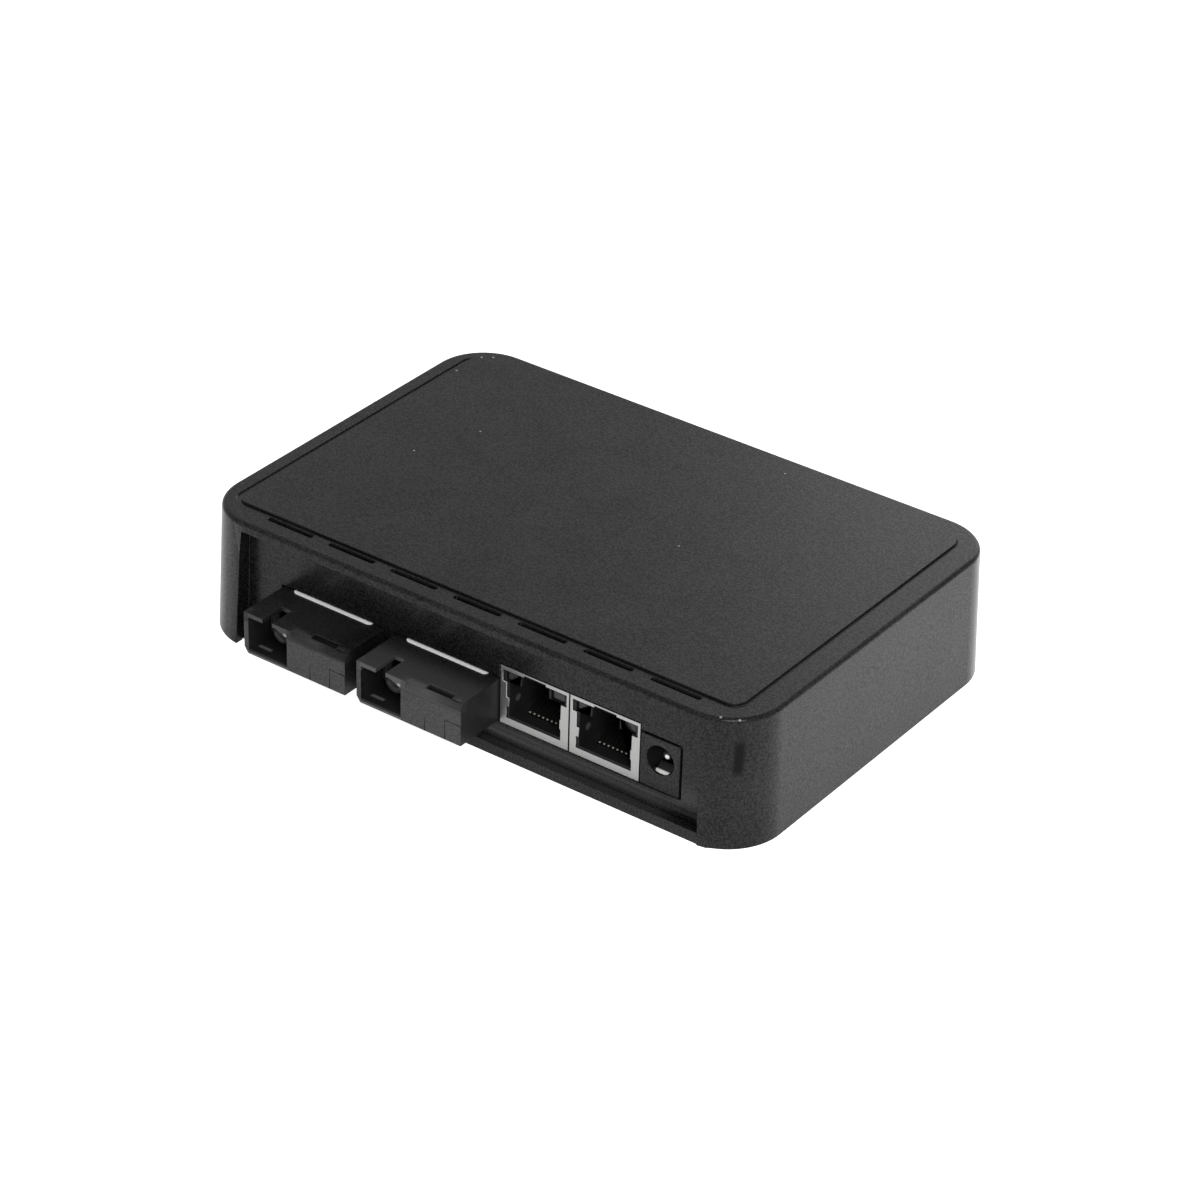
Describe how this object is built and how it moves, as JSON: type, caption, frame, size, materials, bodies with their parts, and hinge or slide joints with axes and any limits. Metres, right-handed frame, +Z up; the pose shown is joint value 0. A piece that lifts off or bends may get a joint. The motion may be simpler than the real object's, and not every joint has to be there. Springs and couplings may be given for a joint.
{
  "type": "fibre ethernet switch",
  "caption": "Flat black network switch: drafted case with a recessed port panel, protruding SC fibre sockets, shielded RJ45 jacks and a round power socket.",
  "frame": {"origin": "centre of the case's underside, on the surface that it stands on", "axes": "+X to the right along the port side as seen from the ports, +Y from the ports to the back, +Z up"},
  "size_m": [0.1306, 0.097, 0.0279],
  "materials": {
    "case_plastic": "fine moulded grain",
    "module_plastic": "matt moulded",
    "insulator_plastic": "matt moulded",
    "shield_steel": "tinned sheet",
    "contact_gold": "gold plated",
    "lens_plastic": "translucent",
    "clip_plastic": "moulded",
    "sleeve_ceramic": "ground",
    "optics_steel": "turned",
    "label_paper": "blank sticker",
    "board_laminate": "solder resist",
    "chip_resin": "moulded resin",
    "tin": "tinned",
    "can_aluminium": "drawn can",
    "ferrite": "pressed ferrite",
    "screw_steel": "zinc plated"
  },
  "bodies": {
    "root": {"top_shell": "case_plastic", "base_plate": "case_plastic", "case_screws": "screw_steel", "main_board": "board_laminate", "board_screws": "screw_steel", "dc_body": "insulator_plastic", "dc_pin": "tin", "dc_spring": "tin", "switch_chip": "chip_resin", "line_transformers": "chip_resin", "clock_crystal": "tin", "power_inductor": "ferrite", "power_regulator": "chip_resin", "capacitors": "can_aluminium", "fibre_housing_1": "module_plastic", "fibre_base_1": "module_plastic", "fibre_pins_1": "tin", "fibre_clip_1": "clip_plastic", "fibre_sleeve_1": "sleeve_ceramic", "fibre_optics_1": "optics_steel", "fibre_label_1": "label_paper", "rj45_shield_1": "shield_steel", "rj45_body_1": "insulator_plastic", "rj45_contacts_1": "contact_gold", "rj45_lenses_1": "lens_plastic", "fibre_housing_2": "module_plastic", "fibre_base_2": "module_plastic", "fibre_pins_2": "tin", "fibre_clip_2": "clip_plastic", "fibre_sleeve_2": "sleeve_ceramic", "fibre_optics_2": "optics_steel", "fibre_label_2": "label_paper", "rj45_shield_2": "shield_steel", "rj45_body_2": "insulator_plastic", "rj45_contacts_2": "contact_gold", "rj45_lenses_2": "lens_plastic"}
  },
  "joints": []
}
